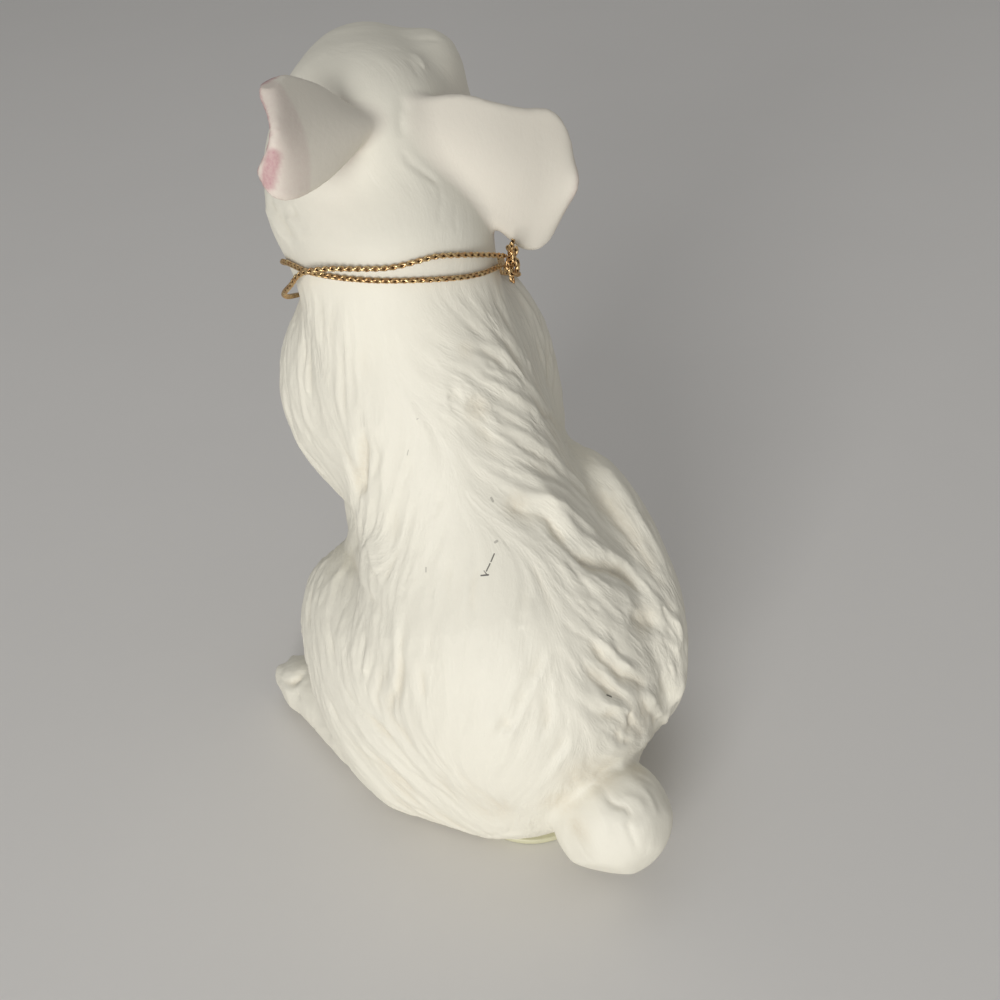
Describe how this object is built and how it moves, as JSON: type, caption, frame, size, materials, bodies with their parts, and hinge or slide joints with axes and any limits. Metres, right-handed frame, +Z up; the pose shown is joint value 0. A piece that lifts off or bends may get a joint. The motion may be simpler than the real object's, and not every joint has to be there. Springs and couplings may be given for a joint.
{
  "type": "rabbit figurine",
  "caption": "Seated rabbit ornament of unglazed white porcelain with folded-back ears, a fluffy tail and a braided gold cord knotted round its neck.",
  "frame": {"origin": "middle of the box under the figurine, on the surface that its pads stand on", "axes": "+Z up, -Y the way the rabbit's body faces, +X to the rabbit's left"},
  "size_m": [0.08, 0.1176, 0.1553],
  "materials": {
    "bisque": "unglazed matt white porcelain",
    "gold_braid": "shiny braided metallic thread",
    "aged_vinyl": "soft yellowed vinyl"
  },
  "bodies": {
    "root": {"body_casting": "bisque", "head_casting": "bisque", "left_ear": "bisque", "right_ear": "bisque", "tail": "bisque", "left_foreleg": "bisque", "right_foreleg": "bisque", "left_hind_foot": "bisque", "right_hind_foot": "bisque", "neck_cord": "gold_braid", "cord_knot": "gold_braid", "cord_end_lower": "gold_braid", "cord_end_upper": "gold_braid", "rear_pad": "aged_vinyl", "front_pad": "aged_vinyl"}
  },
  "joints": []
}
